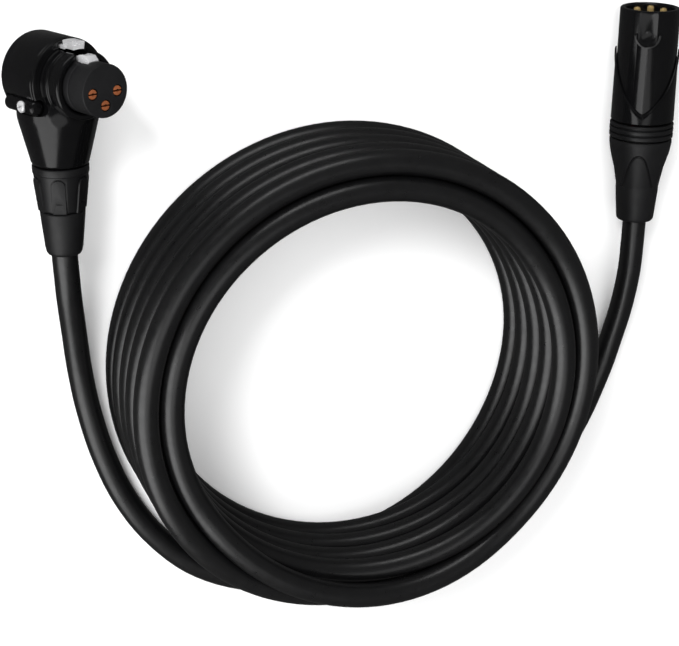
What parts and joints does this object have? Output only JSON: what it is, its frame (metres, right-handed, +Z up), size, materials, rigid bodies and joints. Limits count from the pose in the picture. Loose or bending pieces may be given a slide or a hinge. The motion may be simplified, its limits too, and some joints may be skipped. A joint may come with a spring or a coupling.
{
  "type": "coiled xlr cable",
  "caption": "Coiled black microphone cable with a right-angle female XLR plug with push latch at one end and a straight male XLR plug at the other.",
  "frame": {"origin": "centre of the whole object's footprint, on the surface it lies on", "axes": "+Z up along the coil's axis, +Y the way the straight male plug points, +X from the right-angle plug's side to the male plug's side"},
  "size_m": [0.2248, 0.2022, 0.0456],
  "materials": {
    "cable_coil": "satin PVC jacket",
    "cable_elbow_tail": "satin PVC jacket",
    "cable_male_tail": "satin PVC jacket",
    "elbow_housing": "gloss black",
    "elbow_collar": "gloss black",
    "elbow_insert": "matte moulded",
    "elbow_contact_1": "copper-gold plated",
    "elbow_contact_2": "copper-gold plated",
    "elbow_contact_3": "copper-gold plated",
    "elbow_latch_button": "bright plated",
    "elbow_latch_catch": "bright plated",
    "elbow_latch_leaf": "spring steel",
    "elbow_clamp_bar": "gloss black",
    "elbow_screw": "bright plated",
    "elbow_chuck": "natural nylon",
    "elbow_gland_nut": "satin moulded",
    "elbow_boot": "satin rubber",
    "elbow_wire_shield": "bare tinned copper drain",
    "elbow_wire_hot": "insulated core",
    "elbow_wire_cold": "insulated core",
    "male_shell": "gloss black",
    "male_insert": "matte moulded",
    "male_pin_1": "pale gold plated",
    "male_pin_2": "pale gold plated",
    "male_pin_3": "pale gold plated",
    "male_sleeve": "gloss black",
    "male_ring": "satin moulded",
    "male_boot": "satin moulded",
    "male_chuck": "natural nylon",
    "male_wire_shield": "bare tinned copper drain",
    "male_wire_hot": "insulated core",
    "male_wire_cold": "insulated core"
  },
  "bodies": {
    "cable_and_plugs": {"cable_coil": "cable_coil", "cable_elbow_tail": "cable_elbow_tail", "cable_male_tail": "cable_male_tail", "elbow_housing": "elbow_housing", "elbow_collar": "elbow_collar", "elbow_insert": "elbow_insert", "elbow_contact_1": "elbow_contact_1", "elbow_contact_2": "elbow_contact_2", "elbow_contact_3": "elbow_contact_3", "elbow_latch_leaf": "elbow_latch_leaf", "elbow_clamp_bar": "elbow_clamp_bar", "elbow_screw": "elbow_screw", "elbow_chuck": "elbow_chuck", "elbow_wire_shield": "elbow_wire_shield", "elbow_wire_hot": "elbow_wire_hot", "elbow_wire_cold": "elbow_wire_cold", "male_shell": "male_shell", "male_insert": "male_insert", "male_pin_1": "male_pin_1", "male_pin_2": "male_pin_2", "male_pin_3": "male_pin_3", "male_sleeve": "male_sleeve", "male_ring": "male_ring", "male_chuck": "male_chuck", "male_wire_shield": "male_wire_shield", "male_wire_hot": "male_wire_hot", "male_wire_cold": "male_wire_cold"},
    "latch_button": {"elbow_latch_button": "elbow_latch_button"},
    "latch_catch": {"elbow_latch_catch": "elbow_latch_catch"},
    "elbow_gland": {"elbow_gland_nut": "elbow_gland_nut", "elbow_boot": "elbow_boot"},
    "male_bushing": {"male_boot": "male_boot"}
  },
  "joints": [
    {"name": "latch_press", "type": "slide", "parent": "cable_and_plugs", "child": "latch_button", "axis": [0, -1, 0], "range_m": [0, 0.0012], "stiffness_N_per_m": 1500, "springref_m": -0.001},
    {"name": "catch_dip", "type": "slide", "parent": "cable_and_plugs", "child": "latch_catch", "axis": [0, -1, 0], "range_m": [0, 0.0012]},
    {"name": "gland_nut_turn", "type": "hinge", "parent": "cable_and_plugs", "child": "elbow_gland", "pos_m": [-0.0971, 0.08835, 0.01436], "axis": [0, -1, 0], "range_deg": [0, 360]},
    {"name": "male_boot_turn", "type": "hinge", "parent": "cable_and_plugs", "child": "male_bushing", "pos_m": [0.10175, 0.09895, 0.0108], "axis": [0, -1, 0], "range_deg": [0, 360]}
  ],
  "couplings": [
    {"joint": "catch_dip", "follows": "latch_press", "ratio": 1}
  ]
}
